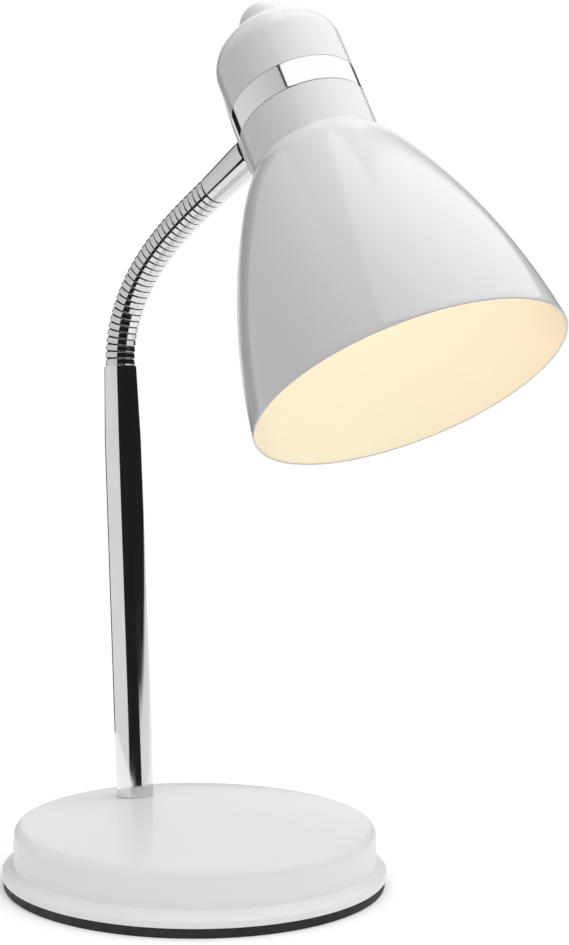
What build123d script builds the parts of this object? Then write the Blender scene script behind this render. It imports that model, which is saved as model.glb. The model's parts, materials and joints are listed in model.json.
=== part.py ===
from build123d import *

import os
from math import asin, cos, degrees, radians, sin, sqrt

# Gooseneck desk lamp, in millimetres.
# The origin is the middle of the base's underside, +Z is up and +X is the lamp's front.

# Shared clearances and cuts
seat_gap = 0.1
screw_gap = 0.05
overrun = 1.0

# Base: domed cover on a foot pad
flange_radius = 80.0
flange_step = 4.5
cover_wall = 1.2
lip_height = 1.0
base_height = 29.6
dome_radius = 507.0
edge_radius = 7.5
pad_height = 3.8
pad_setback = 0.7

# Base: what the cover hides
plate_thickness = 1.5
plate_setback = 4.6
weight_gap = 12.5
weight_bottom = 15.0
boss_radius = 5.5
boss_inset = 16.0
boss_count = 3
screw_radius = 1.75
screw_head_radius = 3.1
screw_depth = 8.0
head_angle = 90.0

# Base: bush where a cord goes in, at the rear
inlet_height = 13.4
inlet_radius = 3.5
inlet_bore_radius = 2.7
inlet_flange_radius = 4.6
inlet_flange = 1.4

# Upright: a tube that stands square on the dome
stem_setback_share = 0.505
stem_radius = 8.0
stem_wall = 1.2
stem_length = 189.0
swage_length = 20.0
swage_drop = 0.5
plug_length = 14.0
stud_radius = 5.0
stud_bore_radius = 3.5
stud_spare = 2.0
clamp_depth = 8.0
clamp_pocket_radius = 14.0
washer_radius = 12.0
washer_thickness = 1.5
stem_nut_flats = 17.0
stem_nut_height = 5.0

# Gooseneck: cup-shaped turns, each with a skirt over the ball of the turn below
turn_count = 31
turn_pitch = 3.184
neck_bend = 66.0
bend_power = 2.1
rib_radius = 6.5
ball_radius = 5.9
ball_gap = 0.1
ball_reach = 0.25
socket_depth = 1.05
skirt_reach = 0.5
swing_room = 0.75
neck_bore_radius = 3.8

# Ferrule between the gooseneck and the head
ferrule_length = 27.5
ferrule_start_radius = 6.5
ferrule_end_radius = 7.3
ferrule_nut_flats = 14.0
ferrule_nut_height = 4.0
nipple_radius = 5.0
nipple_spare = 1.0

# Head: rises and drops are along its axis, from the shade's top unless they say otherwise
mouth_radius = 61.0
shade_length = 104.5
shade_bulge = 6.0
shade_wall = 0.8
housing_radius = 26.1
housing_wall = 2.0
ledge = 2.5
band_rise = 15.1
band_width = 11.3
band_thickness = 0.6
shoulder_rise = 43.7
shoulder_radius = 13.0
cap_rise = 18.0
ferrule_rise = 21.5
pad_proud = 1.1
pad_depth = 7.2
pad_width = 19.2
pad_drop = 16.0
pad_rise = 25.0
pad_corner = 5.0
pad_edge = 0.8

# Lampholder, the ring that clamps the shade to it, and the bulb
holder_radius = 13.6
holder_drop = 12.5
holder_rise = 32.5
holder_rim = 2.6
holder_rim_radius = 17.0
ring_radius = 19.5
ring_height = 6.0
ring_notches = 8
notch_radius = 1.3
shell_radius = 7.7
shell_wall = 0.5
shell_inset = 4.0
shell_length = 21.0
contact_radius = 3.2
contact_height = 1.6
holder_bore_depth = 29.0
bulb_radius = 22.5
bulb_length = 53.0
bulb_wall = 0.8
bulb_neck_radius = 6.5
bulb_throat = 12.0
bulb_neck_depth = 6.0
bulb_cap_radius = 6.95
bulb_cap_inset = 1.0
bulb_cap_length = 22.0
bulb_cap_tip_rise = 4.0
bulb_cap_tip_radius = 3.6
bulb_cap_wall = 0.35

# Push switch in the top of the head
button_radius = 10.0
button_gap = 0.35
button_rise = 10.3
button_dome = 8.5
button_drop = 6.7
button_skirt = 1.5
button_depth = 10.0
button_flange = 1.2
button_flange_height = 1.5
plunger_radius = 2.6
plunger_length = 18.5
plunger_room = 4.5
switch_radius = 9.5
switch_gap = 4.0
switch_height = 12.5
carrier_thickness = 2.0


# Directions and planes
def axis_plane(x, z, lean):
    """A plane whose Y runs along a line that leans from +Z towards +X, with X square to that line."""
    turn = radians(lean)
    return Plane(origin=(x, 0, z), x_dir=(cos(turn), 0, -sin(turn)), z_dir=(0, -1, 0))


def along(plane):
    """The line that a turned piece on this plane is turned about."""
    return Axis(plane.origin, plane.y_dir)


def across(plane, height):
    """A plane square to the line of axis_plane, at a height along it."""
    return Plane(origin=plane.origin + plane.y_dir * height, x_dir=plane.x_dir, z_dir=plane.y_dir)


def half_chord(radius, height):
    """How far a circle reaches sideways at a height from its centre."""
    return sqrt(radius**2 - height**2)


def finish(piece, name):
    """Name a finished piece and write it."""
    piece.part.label = name
    export_step(piece.part, f"parts/{name}.step")


os.makedirs("parts", exist_ok=True)

# Places that follow from the sizes: the base
wall_radius = flange_radius - flange_step
weight_radius = wall_radius - weight_gap
boss_circle_radius = weight_radius - boss_inset
plate_low = pad_height
plate_high = plate_low + plate_thickness
dome_centre = base_height - dome_radius
stem_foot_x = -flange_radius * stem_setback_share
stem_lean = degrees(asin(-stem_foot_x / dome_radius))
stem_foot_z = dome_centre + half_chord(dome_radius, stem_foot_x)
stem = axis_plane(stem_foot_x, stem_foot_z, -stem_lean)
base = axis_plane(0, 0, 0)

# Places that follow from the sizes: heights along the head's axis, from the middle of the shade's mouth
band_low = shade_length + band_rise
band_high = band_low + band_width
shoulder_height = shade_length + shoulder_rise
cap_height = shoulder_height + cap_rise
ferrule_height = shade_length + ferrule_rise
pad_reach = housing_radius + pad_proud
pad_low = ferrule_height - pad_drop
pad_high = ferrule_height + pad_rise
holder_low = shade_length - holder_drop
holder_high = shade_length + holder_rise
shell_low = holder_low + shell_inset
shell_high = shell_low + shell_length
socket_roof = holder_low + holder_bore_depth
bulb_cap_low = holder_low + bulb_cap_inset
bulb_cap_high = bulb_cap_low + bulb_cap_length
bulb_cap_tip = bulb_cap_high + bulb_cap_tip_rise
bulb_neck_high = bulb_cap_low + bulb_neck_depth
bulb_tip = bulb_cap_low - bulb_length
button_top = cap_height + button_rise
button_side = button_top - button_dome
button_low = cap_height - button_drop
button_roof = button_low + button_depth
plunger_low = button_roof - plunger_length
switch_high = button_low - switch_gap
switch_bore_low = plunger_low - plunger_room
carrier_high = switch_high - switch_height
carrier_low = carrier_high - carrier_thickness

# Places that follow from the sizes: the gooseneck and the head's planes
neck_length = turn_count * turn_pitch
ball_root = skirt_reach + swing_room


def neck_lean(distance):
    """Lean of the gooseneck at a distance along it: it bends most at the bottom."""
    share_left = 1 - distance / neck_length
    return neck_bend * (1 - share_left**bend_power) - stem_lean


first_joint = stem.origin + stem.y_dir * (stem_length + ball_root)
turn_planes = []
joint_points = [first_joint]
for turn in range(turn_count):
    start = joint_points[-1]
    turn_plane = axis_plane(start.X, start.Z, neck_lean((turn + 1 / 2) * turn_pitch))
    turn_planes.append(turn_plane)
    joint_points.append(start + turn_plane.y_dir * turn_pitch)

ferrule_lean = neck_lean(neck_length)
ferrule = axis_plane(joint_points[-1].X, joint_points[-1].Z, ferrule_lean)
head_lean = ferrule_lean - 90
ferrule_aim = ferrule.origin + ferrule.y_dir * (ferrule_length + pad_reach)
head_up = axis_plane(0, 0, head_lean).y_dir
mouth = ferrule_aim - head_up * ferrule_height
head = axis_plane(mouth.X, mouth.Z, head_lean)
rear_pad = Plane(
    origin=ferrule.origin + ferrule.y_dir * ferrule_length,
    x_dir=(0, -1, 0),
    z_dir=-ferrule.y_dir,
)


# Base cover: one curve for its outside, the same curve set in for its inside
def cover_outline(inset):
    """Half section of the cover's outside (inset 0) or inside, closed along the axis."""
    cove_radius = flange_radius - wall_radius + inset
    cove_height = pad_height + lip_height + flange_radius - wall_radius
    cove_drop = min(cove_radius, cove_height - pad_height)
    lip = flange_radius - half_chord(cove_radius, cove_drop)
    side = wall_radius - inset
    corner = edge_radius - inset
    corner_x = wall_radius - edge_radius
    corner_z = dome_centre + half_chord(dome_radius - edge_radius, corner_x)
    slope = asin(corner_x / (dome_radius - edge_radius))
    crown = dome_radius - inset
    cove_turn = degrees(asin(cove_drop / cove_radius))
    foot = (lip, cove_height - cove_drop)
    Line((0, pad_height), (lip, pad_height))
    if foot[1] > pad_height:
        Line((lip, pad_height), foot)
    CenterArc((flange_radius, cove_height), cove_radius, 180, cove_turn)
    Line((side, cove_height), (side, corner_z))
    CenterArc((corner_x, corner_z), corner, 0, 90 - degrees(slope))
    CenterArc((0, dome_centre), crown, 90 - degrees(slope), degrees(slope))
    Line((0, dome_centre + crown), (0, pad_height))


with BuildPart() as base_cover:
    with BuildSketch(base):
        with BuildLine():
            cover_outline(0)
        make_face()
        with BuildLine():
            cover_outline(cover_wall)
        make_face(mode=Mode.SUBTRACT)
    revolve(axis=along(base))
    with BuildSketch(across(stem, overrun)):
        Circle(stud_radius + seat_gap)
    extrude(amount=-cover_wall - 2 * overrun, mode=Mode.SUBTRACT)
    with BuildSketch(Plane.YZ.offset(-wall_radius - overrun)):
        with Locations((0, inlet_height)):
            Circle(inlet_radius + seat_gap)
    extrude(amount=cover_wall + 2 * overrun, mode=Mode.SUBTRACT)
finish(base_cover, "base_cover")

with BuildPart() as foot_pad:
    with BuildSketch():
        Circle(flange_radius - pad_setback)
    extrude(amount=pad_height)
    chamfer(foot_pad.edges().group_by(Axis.Z)[0], pad_setback / 2)
finish(foot_pad, "foot_pad")

with BuildPart() as base_plate:
    with BuildSketch(Plane.XY.offset(plate_low)):
        Circle(flange_radius - plate_setback)
    extrude(amount=plate_thickness)
    with Locations(Plane.XY.offset(plate_low).rotated((180, 0, 0))):
        with PolarLocations(boss_circle_radius, boss_count):
            CounterSinkHole(
                screw_radius + seat_gap,
                screw_head_radius + seat_gap,
                depth=plate_thickness,
                counter_sink_angle=head_angle,
            )
finish(base_plate, "base_plate")

with BuildPart() as base_weight:
    weight_top = dome_radius - cover_wall - seat_gap
    with BuildSketch(base):
        with BuildLine():
            Line((0, weight_bottom), (weight_radius, weight_bottom))
            rim_top = dome_centre + half_chord(weight_top, weight_radius)
            Line((weight_radius, weight_bottom), (weight_radius, rim_top))
            rim_turn = degrees(asin(weight_radius / weight_top))
            CenterArc((0, dome_centre), weight_top, 90 - rim_turn, rim_turn)
            Line((0, dome_centre + weight_top), (0, weight_bottom))
        make_face()
    revolve(axis=along(base))
    with BuildSketch(Plane.XY.offset(plate_high)):
        with PolarLocations(boss_circle_radius, boss_count):
            Circle(boss_radius)
    extrude(amount=weight_bottom - plate_high)
    with BuildSketch(Plane.XY.offset(plate_high)):
        with PolarLocations(boss_circle_radius, boss_count):
            Circle(screw_radius + screw_gap)
    extrude(amount=screw_depth + overrun, mode=Mode.SUBTRACT)
    with BuildSketch(across(stem, -clamp_depth)):
        Circle(clamp_pocket_radius)
    extrude(amount=-stem_foot_z, mode=Mode.SUBTRACT)
    with BuildSketch(across(stem, 0)):
        Circle(stud_radius + seat_gap)
    extrude(amount=-clamp_depth - overrun, mode=Mode.SUBTRACT)
finish(base_weight, "base_weight")

with BuildPart() as base_screws:
    with PolarLocations(boss_circle_radius, boss_count):
        with Locations((0, 0, plate_low)):
            Cone(
                screw_head_radius,
                screw_radius,
                screw_head_radius - screw_radius,
                align=(Align.CENTER, Align.CENTER, Align.MIN),
            )
            Cylinder(
                screw_radius,
                plate_thickness + screw_depth,
                align=(Align.CENTER, Align.CENTER, Align.MIN),
            )
finish(base_screws, "base_screws")

with BuildPart() as cord_grommet:
    grommet = Plane(origin=(-wall_radius, 0, inlet_height), x_dir=(0, -1, 0), z_dir=(-1, 0, 0))
    inner_wall = wall_radius - half_chord(wall_radius - cover_wall, inlet_flange_radius)
    outer_face = seat_gap
    inner_face = -inner_wall - seat_gap
    with BuildSketch(grommet):
        Circle(inlet_radius)
    extrude(amount=outer_face + inlet_flange)
    with BuildSketch(grommet):
        Circle(inlet_radius)
    extrude(amount=inner_face - inlet_flange)
    with BuildSketch(grommet.offset(outer_face)):
        Circle(inlet_flange_radius)
    extrude(amount=inlet_flange)
    fillet(cord_grommet.edges().group_by(Axis.X)[0], inlet_flange / 2)
    with BuildSketch(grommet.offset(inner_face)):
        Circle(inlet_flange_radius)
    extrude(amount=-inlet_flange)
    with BuildSketch(grommet.offset(outer_face + inlet_flange)):
        Circle(inlet_bore_radius)
    extrude(amount=inner_face - outer_face - 2 * inlet_flange, mode=Mode.SUBTRACT)
finish(cord_grommet, "cord_grommet")

# Upright and what clamps it to the base
stem_bore_radius = stem_radius - stem_wall
with BuildPart() as stem_tube:
    with BuildSketch(stem):
        with BuildLine():
            Polyline(
                (stem_bore_radius, 0),
                (stem_radius, 0),
                (stem_radius, stem_length - swage_length),
                (stem_radius - swage_drop, stem_length),
                (stem_bore_radius, stem_length),
                close=True,
            )
        make_face()
    revolve(axis=along(stem))
finish(stem_tube, "stem_tube")

stud_length = clamp_depth + washer_thickness + stem_nut_height + stud_spare
with BuildPart() as stem_stud:
    with BuildSketch(stem):
        with BuildLine():
            Polyline(
                (stud_bore_radius, -stud_length),
                (stud_radius, -stud_length),
                (stud_radius, 0),
                (stem_bore_radius - screw_gap, 0),
                (stem_bore_radius - screw_gap, plug_length),
                (stud_bore_radius, plug_length),
                close=True,
            )
        make_face()
    revolve(axis=along(stem))
finish(stem_stud, "stem_stud")

with BuildPart() as stem_washer:
    with BuildSketch(across(stem, -clamp_depth)):
        Circle(washer_radius)
        Circle(stud_radius + screw_gap, mode=Mode.SUBTRACT)
    extrude(amount=-washer_thickness)
finish(stem_washer, "stem_washer")

with BuildPart() as stem_nut:
    with BuildSketch(across(stem, -clamp_depth - washer_thickness)):
        RegularPolygon(stem_nut_flats / 2, 6, major_radius=False)
        Circle(stud_radius + screw_gap, mode=Mode.SUBTRACT)
    extrude(amount=-stem_nut_height)
finish(stem_nut, "stem_nut")


# Gooseneck: a ball rim on each piece sits in a ball socket of the next
def ball_rim(centre):
    """Points of a ball rim about a joint centre: root, middle and top edge."""
    middle = (ball_root - ball_reach) / 2
    root = (half_chord(ball_radius, ball_root), centre - ball_root)
    top = (half_chord(ball_radius, ball_reach), centre + ball_reach)
    return root, (half_chord(ball_radius, middle), centre - middle), top


def ball_socket():
    """Points of a ball socket about a joint at height 0: edge of the skirt, middle and roof edge."""
    radius = ball_radius + ball_gap
    middle = (socket_depth - skirt_reach) / 2
    skirt_edge = (half_chord(radius, skirt_reach), -skirt_reach)
    roof_edge = (half_chord(radius, socket_depth), socket_depth)
    return skirt_edge, (half_chord(radius, middle), middle), roof_edge


with BuildPart() as neck_socket:
    root, belly, top = ball_rim(stem_length + ball_root)
    with BuildSketch(stem):
        with BuildLine():
            Polyline(
                top,
                (neck_bore_radius, top[1]),
                (neck_bore_radius, stem_length - plug_length),
                (stem_bore_radius - screw_gap, stem_length - plug_length),
                (stem_bore_radius - screw_gap, stem_length),
                root,
            )
            ThreePointArc(root, belly, top)
        make_face()
    revolve(axis=along(stem))
finish(neck_socket, "neck_socket")

for number, turn_plane in enumerate(turn_planes, start=1):
    with BuildPart() as neck_link:
        root, belly, top = ball_rim(turn_pitch)
        skirt_edge, socket_middle, roof_edge = ball_socket()
        rib_low = (rib_radius, -skirt_reach)
        with BuildSketch(turn_plane):
            with BuildLine():
                ThreePointArc(roof_edge, socket_middle, skirt_edge)
                Line(skirt_edge, rib_low)
                TangentArc(rib_low, root, tangent=(0, 1))
                ThreePointArc(root, belly, top)
                Polyline(
                    top,
                    (neck_bore_radius, top[1]),
                    (neck_bore_radius, socket_depth),
                    roof_edge,
                )
            make_face()
        revolve(axis=along(turn_plane))
    finish(neck_link, f"neck_link_{number:02d}")

nipple_length = pad_depth + ferrule_nut_height + nipple_spare
with BuildPart() as neck_ferrule:
    skirt_edge, socket_middle, roof_edge = ball_socket()
    ferrule_tip = ferrule_length + nipple_length
    with BuildSketch(ferrule):
        with BuildLine():
            ThreePointArc(roof_edge, socket_middle, skirt_edge)
            Polyline(
                skirt_edge,
                (ferrule_start_radius, -skirt_reach),
                (ferrule_end_radius, ferrule_length - ferrule_end_radius),
                (ferrule_end_radius, ferrule_length),
                (nipple_radius, ferrule_length),
                (nipple_radius, ferrule_tip),
                (neck_bore_radius, ferrule_tip),
                (neck_bore_radius, socket_depth),
                roof_edge,
            )
        make_face()
    revolve(axis=along(ferrule))
finish(neck_ferrule, "neck_ferrule")

with BuildPart() as ferrule_nut:
    with BuildSketch(across(ferrule, ferrule_length + pad_depth)):
        RegularPolygon(ferrule_nut_flats / 2, 6, major_radius=False)
        Circle(nipple_radius + screw_gap, mode=Mode.SUBTRACT)
    extrude(amount=ferrule_nut_height)
finish(ferrule_nut, "ferrule_nut")

# Head housing: collar, recess for the band, and a cap of two arcs with a hole for the button
shoulder_x = housing_radius - shoulder_radius
crown_radius = (shoulder_x**2 + cap_rise**2 - shoulder_radius**2) / (2 * (cap_rise - shoulder_radius))
crown_centre = cap_height - crown_radius
shoulder_turn = degrees(asin((shoulder_height - crown_centre) / (crown_radius - shoulder_radius)))
button_hole_radius = button_radius + button_gap
collar_hole_radius = holder_radius + seat_gap


def cap_arcs(inset):
    """The cap's shoulder and crown, outside (inset 0) or inside, from the wall to the button's hole."""
    crown = crown_radius - inset
    hole_turn = degrees(asin(half_chord(crown, button_hole_radius) / crown))
    CenterArc((shoulder_x, shoulder_height), shoulder_radius - inset, 0, shoulder_turn)
    CenterArc((0, crown_centre), crown, shoulder_turn, hole_turn - shoulder_turn)
    return button_hole_radius, crown_centre + half_chord(crown, button_hole_radius)


with BuildPart() as head_housing:
    bore_radius = housing_radius - housing_wall
    recess_radius = housing_radius - band_thickness
    with BuildSketch(head):
        with BuildLine():
            Polyline(
                (bore_radius, shoulder_height),
                (bore_radius, shade_length + ledge),
                (collar_hole_radius, shade_length + ledge),
                (collar_hole_radius, shade_length),
                (housing_radius, shade_length),
                (housing_radius, band_low),
                (recess_radius, band_low),
                (recess_radius, band_high),
                (housing_radius, band_high),
                (housing_radius, shoulder_height),
            )
            hole_top = cap_arcs(0)
            hole_bottom = cap_arcs(housing_wall)
            Line(hole_top, hole_bottom)
        make_face()
    revolve(axis=along(head))
    pad_middle = (pad_low + pad_high) / 2 - ferrule_height
    with BuildSketch(rear_pad):
        with Locations((0, pad_middle)):
            RectangleRounded(pad_width, pad_high - pad_low, pad_corner)
    extrude(amount=-pad_depth)
    pad_face = head_housing.faces().sort_by(Axis(rear_pad.origin, rear_pad.z_dir))[-1]
    fillet(pad_face.edges(), pad_edge)
    with BuildSketch(rear_pad.offset(overrun)):
        Circle(nipple_radius + seat_gap)
    extrude(amount=-pad_depth - 2 * overrun, mode=Mode.SUBTRACT)
finish(head_housing, "head_housing")

with BuildPart() as trim_band:
    with BuildSketch(head):
        with Locations(((housing_radius - band_thickness / 2), band_low + band_width / 2)):
            Rectangle(band_thickness - screw_gap, band_width - 2 * screw_gap)
    revolve(axis=along(head))
    with BuildSketch(rear_pad):
        Rectangle(pad_width + 2 * seat_gap, 2 * band_width + 2 * overrun)
    extrude(amount=-pad_reach, mode=Mode.SUBTRACT)
finish(trim_band, "trim_band")

with BuildPart() as shade:
    flange_top = shade_length
    flange_bottom = shade_length - shade_wall
    with BuildSketch(head):
        with BuildLine():
            SagittaArc((mouth_radius, 0), (housing_radius, flange_top), -shade_bulge)
            Line((housing_radius, flange_top), (collar_hole_radius, flange_top))
            Line((collar_hole_radius, flange_top), (collar_hole_radius, flange_bottom))
            Line((collar_hole_radius, flange_bottom), (housing_radius - shade_wall, flange_bottom))
            SagittaArc(
                (housing_radius - shade_wall, flange_bottom),
                (mouth_radius - shade_wall, 0),
                shade_bulge,
            )
            Line((mouth_radius - shade_wall, 0), (mouth_radius, 0))
        make_face()
    revolve(axis=along(head))
finish(shade, "shade")

# Lampholder: its rim rests on the housing's ledge, and the ring pulls the shade up against it
ring_high = shade_length - shade_wall
with BuildPart() as lampholder:
    rim_low = shade_length + ledge
    with BuildSketch(head):
        with BuildLine():
            Polyline(
                (0, socket_roof + contact_height),
                (0, holder_high),
                (holder_radius, holder_high),
                (holder_radius, rim_low + holder_rim),
                (holder_rim_radius, rim_low + holder_rim),
                (holder_rim_radius, rim_low),
                (holder_radius, rim_low),
                (holder_radius, holder_low),
                (shell_radius + screw_gap, holder_low),
                (shell_radius + screw_gap, socket_roof),
                (contact_radius + screw_gap, socket_roof),
                (contact_radius + screw_gap, socket_roof + contact_height),
                close=True,
            )
        make_face()
    revolve(axis=along(head))
finish(lampholder, "lampholder")

with BuildPart() as shade_ring:
    with BuildSketch(across(head, ring_high)):
        Circle(ring_radius)
        Circle(holder_radius + seat_gap, mode=Mode.SUBTRACT)
        with PolarLocations(ring_radius, ring_notches):
            Circle(notch_radius, mode=Mode.SUBTRACT)
    extrude(amount=-ring_height)
finish(shade_ring, "shade_ring")

with BuildPart() as lampholder_shell:
    with BuildSketch(across(head, shell_low)):
        Circle(shell_radius)
        Circle(shell_radius - shell_wall, mode=Mode.SUBTRACT)
    extrude(amount=shell_high - shell_low)
finish(lampholder_shell, "lampholder_shell")

with BuildPart() as lampholder_contact:
    with BuildSketch(across(head, bulb_cap_tip + seat_gap)):
        Circle(contact_radius)
    extrude(amount=socket_roof + contact_height - bulb_cap_tip - seat_gap)
finish(lampholder_contact, "lampholder_contact")


# Bulb: a glass globe whose neck goes into its screw cap
def globe_outline(inset):
    """Half section of the globe's outside (inset 0) or inside, closed along the axis."""
    radius = bulb_radius - inset
    centre = bulb_tip + bulb_radius
    throat_x = bulb_neck_radius + bulb_throat
    throat_height = centre + half_chord(bulb_radius + bulb_throat, throat_x)
    throat_turn = degrees(asin((throat_height - centre) / (bulb_radius + bulb_throat)))
    neck_x = bulb_neck_radius - inset
    Line((0, centre - radius), (0, bulb_neck_high))
    Line((0, bulb_neck_high), (neck_x, bulb_neck_high))
    Line((neck_x, bulb_neck_high), (neck_x, throat_height))
    CenterArc((throat_x, throat_height), bulb_throat + inset, 180, throat_turn)
    CenterArc((0, centre), radius, -90, 90 + throat_turn)


with BuildPart() as bulb_globe:
    with BuildSketch(head):
        with BuildLine():
            globe_outline(0)
        make_face()
        with BuildLine():
            globe_outline(bulb_wall)
        make_face(mode=Mode.SUBTRACT)
    revolve(axis=along(head))
finish(bulb_globe, "bulb_globe")

with BuildPart() as bulb_cap:
    with BuildSketch(head):
        with BuildLine():
            Polyline(
                (bulb_cap_radius - bulb_cap_wall, bulb_cap_low),
                (bulb_cap_radius, bulb_cap_low),
                (bulb_cap_radius, bulb_cap_high),
                (bulb_cap_tip_radius, bulb_cap_tip - bulb_cap_wall),
                (bulb_cap_tip_radius, bulb_cap_tip),
                (0, bulb_cap_tip),
                (0, bulb_neck_high + seat_gap),
                (bulb_cap_radius - bulb_cap_wall, bulb_neck_high + seat_gap),
                close=True,
            )
        make_face()
    revolve(axis=along(head))
finish(bulb_cap, "bulb_cap")

# Push switch: a carrier disc in the housing, the switch on it and a domed button on its plunger
carrier_radius = housing_radius - housing_wall - seat_gap
with BuildPart() as switch_carrier:
    with BuildSketch(across(head, carrier_low)):
        Circle(carrier_radius)
    extrude(amount=carrier_thickness)
    with BuildSketch(rear_pad.offset(-pad_depth - seat_gap)):
        with Locations((0, carrier_low - ferrule_height)):
            Rectangle(2 * carrier_radius, 2 * carrier_radius)
    extrude(amount=carrier_radius, mode=Mode.SUBTRACT)
finish(switch_carrier, "switch_carrier")

with BuildPart() as switch_body:
    with BuildSketch(across(head, carrier_high)):
        Circle(switch_radius)
    extrude(amount=switch_high - carrier_high)
    with BuildSketch(across(head, switch_bore_low)):
        Circle(plunger_radius + seat_gap)
    extrude(amount=switch_high - switch_bore_low, mode=Mode.SUBTRACT)
finish(switch_body, "switch_body")

with BuildPart() as switch_button:
    button_inner = button_radius - button_skirt
    with BuildSketch(head):
        with BuildLine():
            Polyline(
                (0, button_top),
                (0, button_roof),
                (button_inner, button_roof),
                (button_inner, button_low),
                (button_radius + button_flange, button_low),
                (button_radius + button_flange, button_low + button_flange_height),
                (button_radius, button_low + button_flange_height),
                (button_radius, button_side),
            )
            button_sphere = (button_radius**2 + button_dome**2) / (2 * button_dome)
            dome_turn = degrees(asin((button_sphere - button_dome) / button_sphere))
            CenterArc((0, button_top - button_sphere), button_sphere, dome_turn, 90 - dome_turn)
        make_face()
    revolve(axis=along(head))
finish(switch_button, "switch_button")

with BuildPart() as switch_plunger:
    with BuildSketch(across(head, plunger_low)):
        Circle(plunger_radius)
    extrude(amount=button_roof - plunger_low)
finish(switch_plunger, "switch_plunger")
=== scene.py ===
"""Looks of the gooseneck desk lamp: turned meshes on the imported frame, finishes, studio and camera."""

import json
from functools import reduce
from math import acos, asin, atan2, cos, pi, radians, sin, sqrt, tan

import bmesh
import bpy
from mathutils import Matrix, Quaternion, Vector


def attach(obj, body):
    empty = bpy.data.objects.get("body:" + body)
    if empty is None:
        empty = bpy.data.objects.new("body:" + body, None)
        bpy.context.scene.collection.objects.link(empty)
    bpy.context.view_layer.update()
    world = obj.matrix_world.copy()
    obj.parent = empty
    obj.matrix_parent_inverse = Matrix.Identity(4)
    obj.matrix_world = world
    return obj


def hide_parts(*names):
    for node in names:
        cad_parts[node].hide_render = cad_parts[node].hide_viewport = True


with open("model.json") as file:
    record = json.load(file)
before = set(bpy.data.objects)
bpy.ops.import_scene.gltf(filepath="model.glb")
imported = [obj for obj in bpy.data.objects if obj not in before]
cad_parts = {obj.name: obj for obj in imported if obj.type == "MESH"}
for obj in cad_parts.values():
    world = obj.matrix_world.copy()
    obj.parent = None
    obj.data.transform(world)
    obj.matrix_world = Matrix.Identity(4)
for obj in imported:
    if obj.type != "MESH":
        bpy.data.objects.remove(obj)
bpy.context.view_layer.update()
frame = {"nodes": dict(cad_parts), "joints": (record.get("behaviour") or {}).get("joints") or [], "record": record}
mm = 0.001

# Sizes of the base
flange_radius = 80.0 * mm
wall_radius = 75.5 * mm
cover_wall = 1.2 * mm
lip_height = 1.0 * mm
flare_low = 6.3 * mm
flare_high = 9.5 * mm
flare_round = 0.9 * mm
base_height = 29.6 * mm
dome_radius = 507.0 * mm
edge_radius = 4.2 * mm
foot_height = 3.8 * mm
foot_setback = 0.7 * mm
inlet_height = 13.4 * mm
inlet_radius = 3.6 * mm
inlet_cut_depth = 8.0 * mm

# Sizes of the upright, the gooseneck's turns and the ferrule
stem_lean = radians(4.57)
stem_radius = 8.0 * mm
stem_bore_radius = 6.8 * mm
stem_length = 189.0 * mm
swage_length = 32.0 * mm
swage_drop = 0.9 * mm
turn_pitch = 3.184 * mm
rib_radius = 6.5 * mm
rib_taper = 0.22 * mm
rib_round = 0.3 * mm
ball_radius = 5.9 * mm
ball_gap = 0.1 * mm
ball_reach = 0.25 * mm
ball_root = 1.25 * mm
socket_depth = 1.05 * mm
skirt_reach = 0.5 * mm
neck_bore_radius = 3.8 * mm
ferrule_length = 27.5 * mm
ferrule_end_radius = 7.3 * mm
ferrule_seam = 2.8 * mm
ferrule_seam_depth = 0.3 * mm
nipple_radius = 5.0 * mm
nipple_length = 12.2 * mm

# Sizes of the housing, its rear pad and the band; heights are measured from the shade's mouth
housing_radius = 26.1 * mm
housing_wall = 2.0 * mm
housing_ledge = 2.5 * mm
collar_low = 101.9 * mm
collar_wall = 1.6 * mm
collar_cove = 1.5 * mm
collar_hole_radius = 13.7 * mm
shoulder_height = 148.2 * mm
shoulder_radius = 13.0 * mm
cap_rise = 18.6 * mm
pad_reach = 27.2 * mm
pad_width = 19.2 * mm
pad_inner = 20.0 * mm
pad_low = 110.0 * mm
pad_flat_high = 134.0 * mm
pad_top = (22.0 * mm, 155.5 * mm)
pad_corner = 5.0 * mm
pad_corner_shares = (0, 0.03, 0.12, 0.25, 0.45, 0.7, 1)
pad_edge = 0.8 * mm
ferrule_height = 126.0 * mm
band_low = 119.6 * mm
band_width = 11.3 * mm
band_thickness = 0.6 * mm
band_shadow_gap = 0.35 * mm
band_top_gap = band_shadow_gap / 3

# Sizes of the shade, the bulb and the button
mouth_radius = 61.0 * mm
shade_length = 104.5 * mm
shade_bulge = 6.0 * mm
shade_wall = 0.8 * mm
bulb_radius = 22.5 * mm
bulb_tip = 40.0 * mm
bulb_neck_radius = 6.5 * mm
bulb_throat = 12.0 * mm
bulb_neck_high = 99.0 * mm
button_radius = 10.0 * mm
button_hole_radius = 10.35 * mm
button_flange = 1.2 * mm
button_low = 159.5 * mm
button_flange_high = 161.0 * mm
button_dome = 6.5 * mm
button_top = 176.5 * mm
button_roof = 169.5 * mm
button_skirt = 1.5 * mm

# Softened edges, and how finely pieces and arcs are cut
soft_edge = 0.3 * mm
fine_edge = 0.12 * mm
sharp_angle = radians(32)
long_run = 4.0 * mm
run_support = 0.4 * mm
axis_tolerance = 1e-7
wide_cuts = 224
rod_cuts = 96
turn_cuts = 72
corner_cuts = 5
ball_cuts = 6
rim_cuts = 8
fillet_cuts = 12
short_arc_cuts = 16
long_arc_cuts = 24
globe_cuts = 40


# Profiles: lists of (radius, height) points
def arc(centre, radius, start, end, cuts):
    """Points of an arc between two angles, both ends included."""
    return [
        (
            centre[0] + radius * cos(start + (end - start) * n / cuts),
            centre[1] + radius * sin(start + (end - start) * n / cuts),
        )
        for n in range(cuts + 1)
    ]


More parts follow.
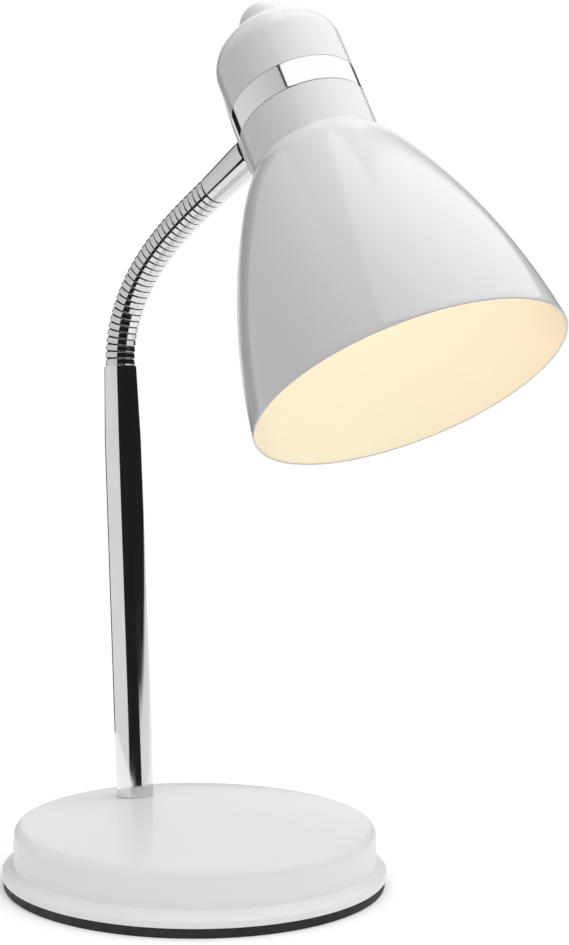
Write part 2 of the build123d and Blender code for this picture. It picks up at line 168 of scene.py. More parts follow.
def bowed(start, end, bulge, cuts):
    """Points of an arc from start to end that bows to the right of its chord by bulge."""
    a = Vector(start)
    b = Vector(end)
    chord = b - a
    radius = (chord.length_squared / 4 + bulge * bulge) / (2 * abs(bulge))
    side = Vector((chord.y, -chord.x)).normalized() * (1 if bulge > 0 else -1)
    centre = (a + b) / 2 - side * (radius - abs(bulge))
    first = atan2(a.y - centre.y, a.x - centre.x)
    last = atan2(b.y - centre.y, b.x - centre.x)
    if last - first > pi:
        last -= 2 * pi
    if first - last > pi:
        last += 2 * pi
    return arc(centre, radius, first, last, cuts)


def rounded(points, radii):
    """A closed run of corners with some of them rounded; radii is corner number to radius."""
    result = []
    count = len(points)
    for n, point in enumerate(points):
        radius = radii.get(n, 0)
        here = Vector(point)
        if not radius:
            result.append(tuple(here))
            continue
        before = (Vector(points[n - 1]) - here).normalized()
        after = (Vector(points[(n + 1) % count]) - here).normalized()
        opening = before.angle(after)
        reach = radius / tan(opening / 2)
        centre = here + (before + after).normalized() * radius / sin(opening / 2)
        first = here + before * reach - centre
        last = here + after * reach - centre
        sweep = first.angle_signed(last)
        for cut in range(corner_cuts + 1):
            spoke = first.copy()
            spoke.rotate(Matrix.Rotation(-sweep * cut / corner_cuts, 2))
            result.append(tuple(centre + spoke))
    return result


def supported(profile):
    """Corner numbers and points, with more points near the ends of long runs to keep shading true."""
    result = []
    for n, point in enumerate(profile):
        result.append((n, point))
        here = Vector(point)
        there = Vector(profile[(n + 1) % len(profile)])
        run = there - here
        if run.length > long_run:
            step = run.normalized() * run_support
            result.append((n, tuple(here + step)))
            result.append((n, tuple(there - step)))
    return result


# Meshes and turned pieces
def mesh_data(name, mesh):
    """Mesh data made from a bmesh, which is freed."""
    data = bpy.data.meshes.new(name)
    mesh.to_mesh(data)
    mesh.free()
    return data


def in_scene(name, data):
    """A new object in the scene with this data."""
    thing = bpy.data.objects.new(name, data)
    bpy.context.scene.collection.objects.link(thing)
    return thing


def axes_of(axis):
    """Two directions square to an axis, the first in the lamp's middle plane."""
    side = Vector((0, 1, 0))
    return side.cross(axis).normalized(), side


def turned(name, origin, axis, profile, cuts, body, replaced, materials, inside=None, sweep=None):
    """A closed profile turned about an axis. inside says which profile edges take the second material."""
    mesh = bmesh.new()
    out, side = axes_of(axis)
    start, end = sweep or (0, 2 * pi)
    rows = cuts + 1 if sweep else cuts
    rings = []
    points = supported(profile)
    for _, (radius, height) in points:
        middle = origin + axis * height
        if radius < axis_tolerance:
            rings.append([mesh.verts.new(middle)] * rows)
            continue
        ring = []
        for n in range(rows):
            angle = start + (end - start) * n / cuts
            ring.append(mesh.verts.new(middle + (out * cos(angle) + side * sin(angle)) * radius))
        rings.append(ring)
    for n in range(len(rings)):
        low = rings[n]
        high = rings[(n + 1) % len(rings)]
        for cut in range(cuts):
            following = (cut + 1) % rows
            corners = []
            for corner in (low[cut], low[following], high[following], high[cut]):
                if corner not in corners:
                    corners.append(corner)
            if len(corners) > 2:
                face = mesh.faces.new(corners)
                face.smooth = True
                face.material_index = 1 if inside and inside(points[n][0]) else 0
    if sweep:
        mesh.faces.new([ring[0] for ring in rings])
        mesh.faces.new([ring[-1] for ring in reversed(rings)])
    bmesh.ops.recalc_face_normals(mesh, faces=mesh.faces)
    data = mesh_data(name, mesh)
    data.set_sharp_from_angle(angle=sharp_angle)
    for material in materials:
        data.materials.append(material)
    piece = in_scene(name, data)
    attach(piece, body)
    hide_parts(replaced)
    return piece


def boolean(piece, tool_data, operation):
    """Join a closed mesh to a piece, or cut it out, and keep the result as the piece's own mesh."""
    tool = in_scene("tool", tool_data)
    step = piece.modifiers.new("step", "BOOLEAN")
    step.object = tool
    step.operation = operation
    step.solver = "EXACT"
    result = bpy.data.meshes.new_from_object(piece.evaluated_get(bpy.context.evaluated_depsgraph_get()))
    piece.modifiers.clear()
    piece.data = result
    result.set_sharp_from_angle(angle=sharp_angle)
    bpy.data.objects.remove(tool)


# Node helpers for the finishes and the surroundings
zero_to_one = (0, 1)


def plug(tree, value, socket):
    """Link a node's output to a socket, or set the socket to a plain value."""
    if isinstance(value, bpy.types.NodeSocket):
        tree.links.new(value, socket)
    else:
        socket.default_value = value


def node_with(tree, kind, **inputs):
    """A new node with its inputs plugged in; an underscore in an input's name stands for a space."""
    node = tree.nodes.new(kind)
    for name, value in inputs.items():
        plug(tree, value, node.inputs[name.replace("_", " ")])
    return node


def mapped(tree, value, span, levels, smooth=False):
    """A value's way through a span turned into a way between two levels, which hold outside the span."""
    node = node_with(
        tree, "ShaderNodeMapRange", Value=value,
        From_Min=span[0], From_Max=span[1], To_Min=levels[0], To_Max=levels[1],
    )
    if smooth:
        node.interpolation_type = "SMOOTHSTEP"
    return node.outputs["Result"]


# Finishes
middle_spread = (0.35, 0.65)
wide_spread = (0.15, 0.85)
peel_scale = 520
peel_depth = 0.05 * mm


class Finish:
    """A principled material with a few node helpers; scales are in repeats per metre."""

    def __init__(self, name):
        self.material = bpy.data.materials.new(name)
        self.material.use_nodes = True
        self.tree = self.material.node_tree
        self.shader = self.tree.nodes["Principled BSDF"]
        self.place = self.tree.nodes.new("ShaderNodeTexCoord").outputs["Object"]

    def set(self, **values):
        """Set the shader's own sockets to plain values."""
        for key, value in values.items():
            self.shader.inputs[key.replace("_", " ")].default_value = value

    def link(self, value, socket):
        """Let a node's output drive one of the shader's sockets."""
        self.tree.links.new(value, self.shader.inputs[socket])

    def noise(self, scale, detail=2.0, stretch=(1, 1, 1)):
        """A noise value from 0 to 1 in the piece's own space."""
        mapping = node_with(self.tree, "ShaderNodeMapping", Vector=self.place, Scale=stretch)
        node = node_with(
            self.tree, "ShaderNodeTexNoise", Vector=mapping.outputs["Vector"], Scale=scale, Detail=detail
        )
        return node.outputs["Fac"]

    def varied(self, levels, spread=middle_spread, **grain):
        """A value that wanders between two levels with a noise."""
        return mapped(self.tree, self.noise(**grain), spread, levels)

    def colours(self, value, low, high):
        """Blend two colours by a 0 to 1 value."""
        node = self.tree.nodes.new("ShaderNodeMix")
        node.data_type = "RGBA"
        node.inputs["A"].default_value = (*low, 1)
        node.inputs["B"].default_value = (*high, 1)
        self.tree.links.new(value, node.inputs["Factor"])
        return node.outputs["Result"]

    def mottled(self, low, high, spread=middle_spread, **grain):
        """A colour that wanders between two colours with a noise."""
        return self.colours(self.varied(zero_to_one, spread, **grain), low, high)

    def bump(self, value, strength, depth):
        """Let a value raise and lower the surface's shading."""
        node = node_with(self.tree, "ShaderNodeBump", Strength=strength, Distance=depth, Height=value)
        self.link(node.outputs["Normal"], "Normal")


def grey(level, warm=0.0):
    """A grey, or with warm a slightly yellow one."""
    return (level, level - warm / 2, level - warm)


def gloss_white(name, level, roughness, coat, shine):
    """Stoved paint or glossy plastic: near-white, a little uneven, with a fine orange peel."""
    tone_swing = 0.006
    warmth = 0.004
    roughness_swing = 0.02
    finish = Finish(name)
    pale = grey(level + tone_swing, warmth)
    finish.link(finish.mottled(grey(level - tone_swing), pale, wide_spread, scale=14), "Base Color")
    rough_levels = (roughness - roughness_swing, roughness + roughness_swing)
    finish.link(finish.varied(rough_levels, wide_spread, scale=60, detail=3), "Roughness")
    finish.bump(finish.noise(scale=peel_scale, detail=1), strength=0.02, depth=peel_depth)
    finish.set(Coat_Weight=coat, Coat_Roughness=0.05, Specular_IOR_Level=shine)
    return finish.material


def chrome_plate(name, level):
    """Bright chrome: mirror-like, with faint polishing lines and a slight haze."""
    tone_swing = 0.03
    line_stretch = (1, 1, 0.05)
    haze_levels = (0.035, 0.085)
    finish = Finish(name)
    lines = finish.noise(scale=700, stretch=line_stretch)
    finish.link(finish.mottled(grey(level), grey(level + tone_swing), scale=40), "Base Color")
    finish.link(mapped(finish.tree, lines, middle_spread, haze_levels), "Roughness")
    finish.bump(lines, strength=0.03, depth=0.01 * mm)
    finish.set(Metallic=1.0)
    return finish.material


def plain_metal(name, colour, roughness, scale):
    """Zinc-plated, brass or bare metal inside the lamp, and the near-black painted shade in the gooseneck's
    grooves and the ferrule's seam.
    """
    dark_share = 0.8
    wear_scale = scale * 3
    grain_scale = scale * 4
    smoother = 0.08
    rougher = 0.1
    rough_levels = (roughness - smoother, roughness + rougher)
    finish = Finish(name)
    darker = tuple(value * dark_share for value in colour)
    finish.link(finish.mottled(darker, colour, scale=scale, detail=4), "Base Color")
    finish.link(finish.varied(rough_levels, scale=wear_scale, detail=3), "Roughness")
    finish.bump(finish.noise(scale=grain_scale, detail=3), strength=0.15, depth=0.05 * mm)
    finish.set(Metallic=1.0)
    return finish.material


def dull_plastic(name, colour, roughness, grain_scale):
    """Moulded plastic or rubber with a fine spark-eroded grain."""
    dark_share = 0.85
    roughness_swing = 0.08
    rough_levels = (roughness - roughness_swing, roughness + roughness_swing)
    finish = Finish(name)
    darker = tuple(value * dark_share for value in colour)
    finish.link(finish.mottled(darker, colour, scale=90, detail=3), "Base Color")
    finish.link(finish.varied(rough_levels, scale=300, detail=3), "Roughness")
    finish.bump(finish.noise(scale=grain_scale, detail=3), strength=0.35, depth=0.12 * mm)
    return finish.material


def painted_glow_lining(name, deep, near, glow):
    """Cream inside of the shade with painted glow in place of its bulb's light: the tone also shines, with a
    painted fall-off, warmer and deeper away from the upright.
    """
    tone_span = (150 * mm, 60 * mm)
    rough_levels = (0.36, 0.48)
    finish = Finish(name)
    axes = node_with(finish.tree, "ShaderNodeSeparateXYZ", Vector=finish.place)
    tone = finish.colours(mapped(finish.tree, axes.outputs["X"], tone_span, zero_to_one), deep, near)
    finish.link(tone, "Base Color")
    finish.link(tone, "Emission Color")
    finish.link(finish.varied(rough_levels, scale=80, detail=3), "Roughness")
    finish.bump(finish.noise(scale=peel_scale, detail=1), strength=0.06, depth=peel_depth)
    finish.set(Emission_Strength=glow)
    return finish.material


def opal_glass(name, colour, glow):
    """Opal glass of a lit bulb, slightly cloudy."""
    pale_share = 1.03
    rough_levels = (0.08, 0.14)
    finish = Finish(name)
    paler = tuple(min(1, value * pale_share) for value in colour)
    tone = finish.mottled(colour, paler, scale=30)
    finish.link(tone, "Base Color")
    finish.link(tone, "Emission Color")
    finish.link(finish.varied(rough_levels, scale=120), "Roughness")
    finish.set(Emission_Strength=glow)
    return finish.material


white_paint = gloss_white("white_paint", level=0.80, roughness=0.32, coat=0.7, shine=0.15)
base_paint = gloss_white("base_paint", level=0.87, roughness=0.42, coat=0.22, shine=0.2)
white_plastic = gloss_white("white_plastic", level=0.86, roughness=0.32, coat=0.6, shine=0.15)
chrome = chrome_plate("chrome_plate", level=0.80)
neck_chrome = chrome_plate("neck_chrome", level=0.69)
# Near-black painted shade for the grooves between the gooseneck's turns and for the ferrule's seam
painted_groove_shade = plain_metal("painted_groove_shade", (0.03, 0.03, 0.03), roughness=0.5, scale=300)
foam_rubber = dull_plastic("foam_rubber", (0.013, 0.013, 0.014), roughness=0.62, grain_scale=900)
cast_iron = plain_metal("cast_iron", (0.10, 0.10, 0.10), roughness=0.6, scale=120)
zinc_steel = plain_metal("zinc_steel", (0.55, 0.55, 0.56), roughness=0.35, scale=200)
brass = plain_metal("brass", (0.72, 0.55, 0.25), roughness=0.3, scale=200)
bulb_metal = plain_metal("bulb_metal", (0.70, 0.70, 0.71), roughness=0.3, scale=200)
holder_plastic = dull_plastic("holder_plastic", (0.75, 0.74, 0.71), roughness=0.45, grain_scale=1400)
# Painted glow: the shade's lining shines by itself, with a painted light fall-off across it
lining = painted_glow_lining("painted_glow_lining", deep=(0.525, 0.438, 0.322), near=(0.565, 0.522, 0.41), glow=0.93)
opal = opal_glass("opal_glass", (1.0, 0.86, 0.62), glow=0.8)

slot_finish = {
    "painted_steel": white_paint,
    "white_plastic": white_plastic,
    "chrome": chrome,
    "black_rubber": foam_rubber,
    "cast_iron": cast_iron,
    "steel": zinc_steel,
    "brass": brass,
    "holder_plastic": holder_plastic,
    "glass": opal,
    "aluminium": bulb_metal,
}
for subpart in frame["record"]["subparts"]:
    node = frame["nodes"][subpart["node"]]
    node.data.materials.clear()
    node.data.materials.append(slot_finish[subpart["material_slot"]])

# Places read from the joints
neck_joints = [joint for joint in frame["joints"] if joint["type"] == "hinge"]
joint_points = [Vector(joint["pos_m"]) for joint in neck_joints]
press = next(joint for joint in frame["joints"] if joint["type"] == "slide")
up = Vector((0, 0, 1))
origin = Vector((0, 0, 0))
stem_axis = Vector((-sin(stem_lean), 0, cos(stem_lean)))
stem_foot = joint_points[0] - stem_axis * (stem_length + ball_root)
head_axis = -Vector(press["axis"]).normalized()
ferrule_axis = Vector((head_axis.z, 0, -head_axis.x))
mouth = joint_points[-1] + ferrule_axis * (ferrule_length + pad_reach) - head_axis * ferrule_height


# Base
def dome_side(inset):
    """The cover's section from its wall's top to the axis: outside at inset 0, inside at cover_wall."""
    corner_x = wall_radius - edge_radius
    dome_centre = base_height - dome_radius
    corner_z = dome_centre + sqrt((dome_radius - edge_radius) ** 2 - corner_x**2)
    slope = asin(corner_x / (dome_radius - edge_radius))
    points = arc((corner_x, corner_z), edge_radius - inset, 0, pi / 2 - slope, short_arc_cuts)
    return points + arc((0, dome_centre), dome_radius - inset, pi / 2 - slope, pi / 2, long_arc_cuts)[1:]


flare_centre = foot_height + lip_height + flange_radius - wall_radius
flare_radius = flange_radius - wall_radius + cover_wall
flare_turn = asin(min(flare_radius, flare_centre - foot_height) / flare_radius)
inner_side = arc((flange_radius, flare_centre), flare_radius, pi + flare_turn, pi, fillet_cuts)
inner_side += dome_side(cover_wall)
outer_side = dome_side(0)
lip = rounded(
    [
        (inner_side[0][0], foot_height),
        (flange_radius, foot_height),
        (flange_radius, flare_low),
        (wall_radius, flare_high),
        outer_side[0],
    ],
    {1: soft_edge, 2: flare_round, 3: flare_round},
)
base_cover = turned(
    "base_shell", origin, up, lip + outer_side[1:] + inner_side[::-1],
    wide_cuts, "stand", "base_cover", [base_paint],
)
cutter = bmesh.new()
bmesh.ops.create_cone(
    cutter, cap_ends=True, segments=rod_cuts,
    radius1=inlet_radius, radius2=inlet_radius, depth=inlet_cut_depth,
    matrix=Matrix.Translation((-wall_radius, 0, inlet_height)) @ Matrix.Rotation(pi / 2, 4, "Y"),
)
boolean(base_cover, mesh_data("inlet_cutter", cutter), "DIFFERENCE")

foot_radius = flange_radius - foot_setback
turned(
    "base_pad", origin, up,
    rounded(
        [(0, 0), (foot_radius, 0), (foot_radius, foot_height), (0, foot_height)],
        {1: foot_setback / 2, 2: soft_edge},
    ),
    wide_cuts, "stand", "foot_pad", [foam_rubber],
)

# Upright
turned(
    "upright", stem_foot, stem_axis,
    rounded(
        [
            (stem_bore_radius, 0),
            (stem_radius, 0),
            (stem_radius, stem_length - swage_length),
            (stem_radius - swage_drop, stem_length),
            (stem_bore_radius, stem_length),
        ],
        {1: soft_edge, 3: fine_edge, 4: fine_edge / 2},
    ),
    rod_cuts, "stand", "stem_tube", [chrome],
)

# Gooseneck: the socket runs from its roof to the skirt's edge, the ball from its root to its top
socket_radius = ball_radius + ball_gap
roof_turn = asin(socket_depth / socket_radius)
skirt_turn = -asin(skirt_reach / socket_radius)
root_turn = -asin(ball_root / ball_radius)
reach_turn = asin(ball_reach / ball_radius)
socket_side = arc((0, 0), socket_radius, roof_turn, skirt_turn, ball_cuts)
ball_side = arc((0, turn_pitch), ball_radius, root_turn, reach_turn, ball_cuts)
rib_top = (rib_radius - rib_taper, ball_side[0][1])
turn_side = socket_side[:-1]
turn_side += rounded(
    [
        socket_side[-2],
        socket_side[-1],
        (rib_radius, -skirt_reach),
        (rib_radius, 2 * fine_edge - skirt_reach),
        (rib_radius - rib_taper, rib_top[1] - rib_round - fine_edge),
        rib_top,
        ball_side[0],
    ],
    {1: fine_edge / 2, 2: fine_edge, 5: rib_round},
)[1:-1]
first_groove = len(turn_side) - 1
turn_side += ball_side
turn_side += [(neck_bore_radius, ball_side[-1][1]), (neck_bore_radius, socket_depth)]
# The faces in each turn's groove take the near-black painted shade
for number in range(1, len(joint_points)):
    start = joint_points[number - 1]
    turned(
        f"neck_turn_{number:02d}", start, (joint_points[number] - start).normalized(), turn_side,
        turn_cuts, f"turn_{number:02d}", f"neck_link_{number:02d}", [neck_chrome, painted_groove_shade],
        inside=lambda n: n >= first_groove,
    )

# Ferrule
seam_radius = ferrule_end_radius - ferrule_seam_depth
ferrule_side = socket_side[:-1]
ferrule_side += rounded(
    [
        socket_side[-2],
        socket_side[-1],
        (rib_radius, -skirt_reach),
        (ferrule_end_radius, ferrule_length - ferrule_end_radius),
        (ferrule_end_radius, ferrule_length - ferrule_seam),
        (seam_radius, ferrule_length - ferrule_seam),
        (seam_radius, ferrule_length),
        (nipple_radius, ferrule_length),
        (nipple_radius, ferrule_length + nipple_length),
        (neck_bore_radius, ferrule_length + nipple_length),
        (neck_bore_radius, socket_depth),
    ],
    {1: fine_edge / 2, 2: soft_edge, 3: ferrule_end_radius * 2, 4: fine_edge},
)[1:]
# The ferrule's seam takes the near-black painted shade
turned(
    "ferrule", joint_points[-1], ferrule_axis, ferrule_side,
    rod_cuts, "head", "neck_ferrule", [neck_chrome, painted_groove_shade],
    inside=lambda n: ferrule_side[n][1] > ferrule_length - ferrule_seam - fine_edge / 2,
)

# Housing
shoulder_x = housing_radius - shoulder_radius
crown_radius = (shoulder_x**2 + cap_rise**2 - shoulder_radius**2) / (2 * (cap_rise - shoulder_radius))
crown_centre = shoulder_height + cap_rise - crown_radius
shoulder_turn = asin((shoulder_height - crown_centre) / (crown_radius - shoulder_radius))


def cap_side(inset):
    """The cap's shoulder and crown up to the button's hole: outside at inset 0, inside at housing_wall."""
    crown = crown_radius - inset
    hole_turn = pi / 2 - asin(button_hole_radius / crown)
    points = arc((shoulder_x, shoulder_height), shoulder_radius - inset, 0, shoulder_turn, long_arc_cuts)
    return points + arc((0, crown_centre), crown, shoulder_turn, hole_turn, short_arc_cuts)[1:]


seat_radius = housing_radius - collar_wall
recess_radius = housing_radius - band_thickness
band_high = band_low + band_width
housing_side = [
    (collar_hole_radius, shade_length),
    (seat_radius, shade_length),
    (seat_radius, collar_low),
    (housing_radius, collar_low),
    (housing_radius, band_low),
    (recess_radius, band_low),
    (recess_radius, band_high),
    (housing_radius, band_high),
]
housing_side += cap_side(0) + cap_side(housing_wall)[::-1]
housing_side += [
    (housing_radius - housing_wall, shade_length + housing_ledge),
    (collar_hole_radius, shade_length + housing_ledge),
]
housing = turned(
    "housing", mouth, head_axis, housing_side, wide_cuts, "head", "head_housing",
    [white_plastic],
)

# Rear pad of the housing: sections at (reach, lift, half width), the last ones blended into the shoulder
reach_out = pad_reach - shoulder_x
reach_up = shoulder_height - pad_flat_high
touch = atan2(-reach_up, reach_out) + acos(shoulder_radius / sqrt(reach_out**2 + reach_up**2))
touch_point = (shoulder_x + shoulder_radius * cos(touch), shoulder_height + shoulder_radius * sin(touch))
pad_stations = []
for share in pad_corner_shares:
    lift = pad_corner * share
    half = pad_width / 2 - pad_corner + sqrt(pad_corner**2 - (pad_corner - lift) ** 2)
    pad_stations.append((pad_reach, pad_low + lift, half))
for reach, lift in ((pad_reach, pad_flat_high), touch_point, pad_top):
    pad_stations.append((reach, lift, pad_width / 2))
boss = bmesh.new()
boss_rings = []
for reach, lift, half in pad_stations:
    corner = arc((half - pad_edge, reach - pad_edge), pad_edge, 0, pi / 2, corner_cuts)
    section = [(half, pad_inner)] + corner
    section += [(-along, out) for along, out in section[::-1]]
    boss_rings.append(
        [
            boss.verts.new(mouth + head_axis * lift - ferrule_axis * out + Vector((0, along, 0)))
            for along, out in section
        ]
    )
for low, high in zip(boss_rings, boss_rings[1:]):
    for n in range(len(low)):
        following = (n + 1) % len(low)
        boss.faces.new((low[n], low[following], high[following], high[n])).smooth = True
boss.faces.new(boss_rings[0])
boss.faces.new(boss_rings[-1])
bmesh.ops.recalc_face_normals(boss, faces=boss.faces)
boolean(housing, mesh_data("rear_pad", boss), "UNION")

# Band, which stops at both sides of the rear pad
band_turn = asin((pad_width / 2 + band_shadow_gap) / housing_radius)
band_side = rounded(
    [
        (recess_radius, band_low + band_shadow_gap),
        (housing_radius, band_low + band_shadow_gap),
        (housing_radius, band_high - band_top_gap),
        (recess_radius, band_high - band_top_gap),
    ],
    {1: fine_edge, 2: fine_edge},
)
turned(
    "band", mouth, head_axis, band_side, wide_cuts, "head", "trim_band", [chrome],
    sweep=(-pi + band_turn, pi - band_turn),
)


# Shade, which is hidden from mirror rays, as the bulb is
def shade_skin(inset, top):
    """The shade's section from the mouth to its top: one long arc, then a rounder shoulder."""
    arc_cuts = 48
    kept_cuts = 38
    shoulder_cuts = 12
    lead_share = 0.62
    rim = (mouth_radius - inset, 0)
    crest = (housing_radius - inset, shade_length)
    points = bowed(rim, crest, shade_bulge, arc_cuts)[:kept_cuts]
    first = Vector(points[-1])
    last = Vector(top)
    way = (first - Vector(points[-2])).normalized()
    lead = first + way * (last - first).length * lead_share
    for cut in range(1, shoulder_cuts + 1):
        share = cut / shoulder_cuts
        near = first.lerp(lead, share)
        points.append(tuple(near.lerp(lead.lerp(last, share), share)))
    return points


shade_outer = shade_skin(0, (housing_radius, collar_low))
shade_inner = shade_skin(shade_wall, (seat_radius - shade_wall, collar_low - shade_wall))[::-1]
shade_rim = arc((mouth_radius - shade_wall / 2, 0), shade_wall / 2, pi, 2 * pi, rim_cuts)[1:-1]
shade_cove = rounded(
    [shade_outer[-2], shade_outer[-1], (housing_radius, collar_low + collar_cove)],
    {1: collar_cove},
)[1:-1]
shade_side = shade_outer[:-2] + shade_cove
shade_side += [
    (seat_radius, collar_low),
    (seat_radius, shade_length),
    (collar_hole_radius, shade_length),
    (collar_hole_radius, shade_length - shade_wall),
    (seat_radius - shade_wall, shade_length - shade_wall),
]
first_inside = len(shade_side) - 1
shade_side += shade_inner
last_inside = len(shade_side) - 1
shade_side += shade_rim
# The shade's inside takes the lining with its painted glow and painted fall-off
bell_shade = turned(
    "bell_shade", mouth, head_axis, shade_side, wide_cuts, "head", "shade",
    [white_paint, lining], inside=lambda n: first_inside <= n < last_inside,
)
bell_shade.visible_glossy = False

# Bulb
bulb_centre = bulb_tip + bulb_radius
throat_x = bulb_neck_radius + bulb_throat
throat_height = bulb_centre + sqrt((bulb_radius + bulb_throat) ** 2 - throat_x**2)
throat_turn = asin((throat_height - bulb_centre) / (bulb_radius + bulb_throat))
bulb_side = arc((0, bulb_centre), bulb_radius, -pi / 2, throat_turn, globe_cuts)
bulb_side += arc((throat_x, throat_height), bulb_throat, pi + throat_turn, pi, fillet_cuts)[1:]
bulb_side += [(bulb_neck_radius, bulb_neck_high), (0, bulb_neck_high)]
bulb = turned("bulb", mouth, head_axis, bulb_side, rod_cuts, "head", "bulb_globe", [opal])
bulb.visible_glossy = False

# Button
dome_sphere = (button_radius**2 + button_dome**2) / (2 * button_dome)
dome_turn = asin((dome_sphere - button_dome) / dome_sphere)
button_side = [
    (0, button_roof),
    (button_radius - button_skirt, button_roof),
    (button_radius - button_skirt, button_low),
    (button_radius + button_flange, button_low),
    (button_radius + button_flange, button_flange_high),
    (button_radius, button_flange_high),
]
button_side += arc((0, button_top - dome_sphere), dome_sphere, dome_turn, pi / 2, long_arc_cuts)
turned(
    "push_button", mouth, head_axis, button_side, rod_cuts, "button", "switch_button",
    [white_plastic],
)

# Floor: a white disc that keeps the shadow near the lamp and runs out to plain white
floor_radius = 0.32
floor_dark = grey(0.90)
floor_pale = grey(0.92)
floor_glow = 0.18
fade_span = (0.14, 0.28)
floor_mesh = bmesh.new()
bmesh.ops.create_circle(floor_mesh, cap_ends=True, segments=wide_cuts, radius=floor_radius)
floor = in_scene("floor", mesh_data("floor", floor_mesh))
floor_finish = Finish("floor")
floor_finish.link(floor_finish.colours(floor_finish.noise(scale=3), floor_dark, floor_pale), "Base Color")
floor_finish.set(Roughness=0.9, Specular_IOR_Level=0.0)
floor_finish.set(Emission_Color=(1, 1, 1, 1), Emission_Strength=floor_glow)
floor_tree = floor_finish.tree
from_middle = floor_tree.nodes.new("ShaderNodeVectorMath")
from_middle.operation = "LENGTH"
floor_tree.links.new(floor_finish.place, from_middle.inputs[0])
run_out = mapped(floor_tree, from_middle.outputs["Value"], fade_span, zero_to_one)
blend = node_with(floor_tree, "ShaderNodeMixShader", Fac=run_out)
plain = floor_tree.nodes.new("ShaderNodeEmission")
floor_tree.links.new(floor_finish.shader.outputs["BSDF"], blend.inputs[1])
floor_tree.links.new(plain.outputs["Emission"], blend.inputs[2])
floor_tree.links.new(blend.outputs["Shader"], floor_tree.nodes["Material Output"].inputs["Surface"])
floor.data.materials.append(floor_finish.material)

# Camera
camera_place = Vector((0.4675, -0.4213, 0.1779))
camera_target = Vector((0.0244, 0.0243, 0.1711))
camera_roll = radians(0.99)
camera_lens = 57.14
camera_data = bpy.data.cameras.new("camera")
camera_data.lens = camera_lens
camera = in_scene("camera", camera_data)
camera.location = camera_place
aim = (camera_target - camera_place).to_track_quat("-Z", "Y")
camera.rotation_mode = "QUATERNION"
camera.rotation_quaternion = aim @ Quaternion((0, 0, 1), camera_roll)
bpy.context.scene.camera = camera


# Lamps: two soft boxes above, which mirrors don't show
def soft_box(name, place, target, width, power):
    """A square lamp at a place, turned to a target and hidden from mirror rays."""
    data = bpy.data.lights.new(name, "AREA")
    data.shape = "RECTANGLE"
    data.size = width
    data.size_y = width
    data.energy = power
    light = in_scene(name, data)
    light.location = place
    light.rotation_mode = "QUATERNION"
    light.rotation_quaternion = (Vector(target) - Vector(place)).to_track_quat("-Z", "Y")
    light.visible_glossy = False


soft_box("key", place=(0.36, 0.12, 1.35), target=(0.02, 0, 0.12), width=1.2, power=9.8)
soft_box("fill", place=(-0.25, -0.7, 1.3), target=(0.02, 0, 0.15), width=1.0, power=2.0)

# Studio that mirror rays see, by height and by turn from the camera's side, with the left below 0
sharp_edge = radians(1.5)
overhead_level = 1.2
overhead_turns = (radians(-170), radians(150))
overhead_turn_edge = radians(6)
overhead_foot_turns = (radians(40), radians(150))
overhead_foot_heights = (radians(42), radians(26))
overhead_rise_share = 0.30
overhead_toward_share = 0.38
panel_levels = (0.77, 0.6)
panel_level_heights = (radians(5), radians(38))
panel_turns = (radians(-141), radians(-24))
panel_foot_drop = radians(5)
panel_foot_slope = 0.5
panel_rise_share = 0.72
table_levels = (1.15, 0.8)
table_level_heights = (radians(-14), radians(-5))
table_turns = (radians(48), radians(170))
table_turn_edge = radians(3)
table_heights = (radians(-90), radians(-1.5))
table_height_edge = radians(1)
rear_level = 0.9
rear_gap_turns = (radians(-162), radians(162))
rear_turn_edge = radians(3)
rear_heights = (0, radians(60))
rear_height_edge = radians(2)
room_level = 0.015

# Soft light on dull surfaces, stronger from above and from the right
soft_levels = (0.25, 0.55)
soft_level_heights = (radians(-35), radians(55))
side_shares = (0.85, 1.4)
left_to_right = (-1, 1)

world = bpy.data.worlds.new("studio")
bpy.context.scene.world = world
world.use_nodes = True
sky = world.node_tree
sky.nodes.clear()


def sky_math(operation, first, second=0.0):
    """One step of arithmetic with node outputs and plain values."""
    node = sky.nodes.new("ShaderNodeMath")
    node.operation = operation
    plug(sky, first, node.inputs[0])
    plug(sky, second, node.inputs[1])
    return node.outputs[0]


def product(*values):
    """Node outputs and plain values multiplied one after the other."""
    return reduce(lambda done, value: sky_math("MULTIPLY", done, value), values)


def total(*values):
    """Node outputs and plain values added one after the other."""
    return reduce(lambda done, value: sky_math("ADD", done, value), values)


def past(value, edge, soft):
    """0 before an edge and 1 past it, with a soft step."""
    return mapped(sky, value, (edge - soft, edge + soft), zero_to_one, smooth=True)


def between(value, span, soft):
    """1 where a value lies within a span, with soft edges."""
    return sky_math("SUBTRACT", past(value, span[0], soft), past(value, span[1], soft))


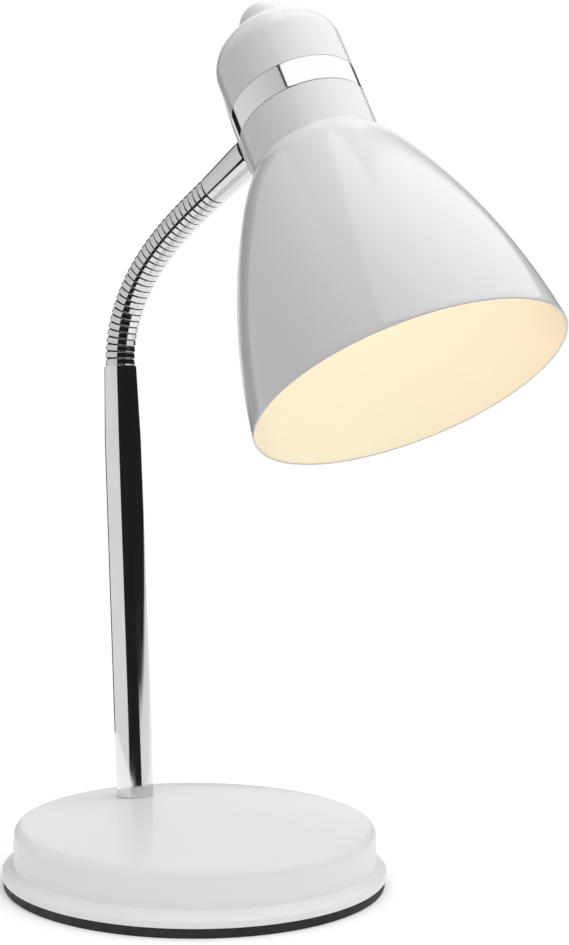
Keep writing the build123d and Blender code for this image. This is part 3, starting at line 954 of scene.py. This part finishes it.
camera_turn = atan2(camera_place.y, camera_place.x)
outward = sky.nodes.new("ShaderNodeTexCoord").outputs["Generated"]
facing = node_with(sky, "ShaderNodeVectorRotate", Vector=outward, Angle=-camera_turn)
facing.rotation_type = "Z_AXIS"
axes = node_with(sky, "ShaderNodeSeparateXYZ", Vector=facing.outputs["Vector"])
toward = axes.outputs["X"]
right = axes.outputs["Y"]
rise = axes.outputs["Z"]
turn = sky_math("ARCTAN2", right, toward)
height = sky_math("ARCSINE", rise)

overhead_foot = mapped(sky, turn, overhead_foot_turns, overhead_foot_heights)
overhead_left = total(right, product(rise, overhead_rise_share), product(toward, overhead_toward_share))
overhead = product(
    past(sky_math("SUBTRACT", height, overhead_foot), 0, sharp_edge),
    past(overhead_left, 0, sharp_edge),
    between(turn, overhead_turns, overhead_turn_edge),
    overhead_level,
)
panel_foot = product(total(turn, -panel_turns[1]), -panel_foot_slope)
panel_top = total(product(right, -1), product(rise, -panel_rise_share))
panel = product(
    between(turn, panel_turns, sharp_edge),
    past(total(height, panel_foot_drop, panel_foot), 0, sharp_edge),
    past(panel_top, 0, sharp_edge),
    mapped(sky, height, panel_level_heights, panel_levels),
)
table = product(
    between(turn, table_turns, table_turn_edge),
    between(height, table_heights, table_height_edge),
    mapped(sky, height, table_level_heights, table_levels),
)
rear = product(
    sky_math("SUBTRACT", 1, between(turn, rear_gap_turns, rear_turn_edge)),
    between(height, rear_heights, rear_height_edge),
    rear_level,
)
studio = total(overhead, panel, table, rear, room_level)
soft_light = product(
    mapped(sky, height, soft_level_heights, soft_levels),
    mapped(sky, right, left_to_right, side_shares),
)

# The camera, and what is seen through glass, get plain white
rays = sky.nodes.new("ShaderNodeLightPath").outputs
unseen = node_with(sky, "ShaderNodeMix", Factor=rays["Is Glossy Ray"], A=soft_light, B=studio)
seen = sky_math("MAXIMUM", rays["Is Camera Ray"], rays["Is Transmission Ray"])
strength = node_with(sky, "ShaderNodeMix", Factor=seen, A=unseen.outputs[0], B=1.0)
backdrop = node_with(sky, "ShaderNodeBackground", Color=(1, 1, 1, 1), Strength=strength.outputs[0])
node_with(sky, "ShaderNodeOutputWorld", Surface=backdrop.outputs["Background"])

bpy.context.scene.view_settings.view_transform = "Standard"
